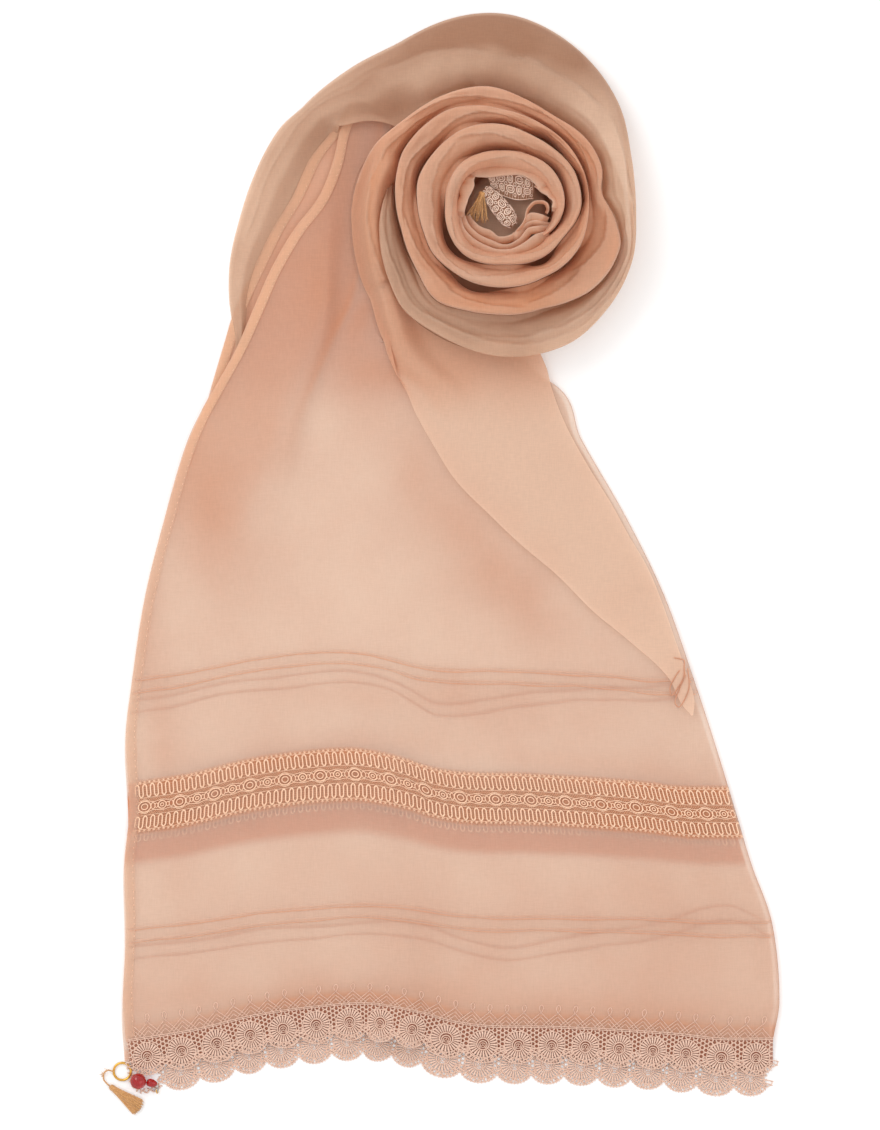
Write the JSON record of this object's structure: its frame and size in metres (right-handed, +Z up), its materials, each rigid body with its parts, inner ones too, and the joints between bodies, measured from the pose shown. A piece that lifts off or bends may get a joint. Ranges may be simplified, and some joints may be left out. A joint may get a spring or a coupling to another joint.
{
  "type": "dupatta stole",
  "caption": "Long sheer lace-edged stole lying flat: one end folded lengthwise and laid out, the rest swept round and wound into an upright rosette.",
  "frame": {"origin": "on the surface it lies on, under the middle of the whole", "axes": "+Z up, +Y from the laid-out lace hem towards the rosette, +X towards the lengthwise fold"},
  "size_m": [0.4728, 0.7704, 0.061],
  "materials": {
    "organza": "sheer, crisp, with a soft sheen",
    "lace": "guipure lace in cotton thread, matt with light satin stitches",
    "silk_thread": "glossy thread",
    "gilt_metal": "polished",
    "red_bead": "glossy"
  },
  "bodies": {
    "root": {"under_leaf": "organza", "upper_leaf": "organza", "flap": "organza", "left_roll": "organza", "outer_turn": "organza", "petal_turn": "organza", "second_turn": "organza", "third_turn": "organza", "inner_turn": "organza", "coil_heart": "organza", "heart_fold_loop": "organza", "heart_fold_low": "organza", "hem_upper": "organza", "hem_under": "organza", "band_upper": "lace", "band_under": "lace", "border_upper": "lace", "border_under": "lace", "end_roll": "lace", "end_tongue": "lace", "end_tassel": "silk_thread", "trim_tassel": "silk_thread", "trim_link": "silk_thread", "trim_ring": "gilt_metal", "trim_tip_bead": "gilt_metal", "trim_bead": "red_bead", "trim_cup": "red_bead"}
  },
  "joints": []
}
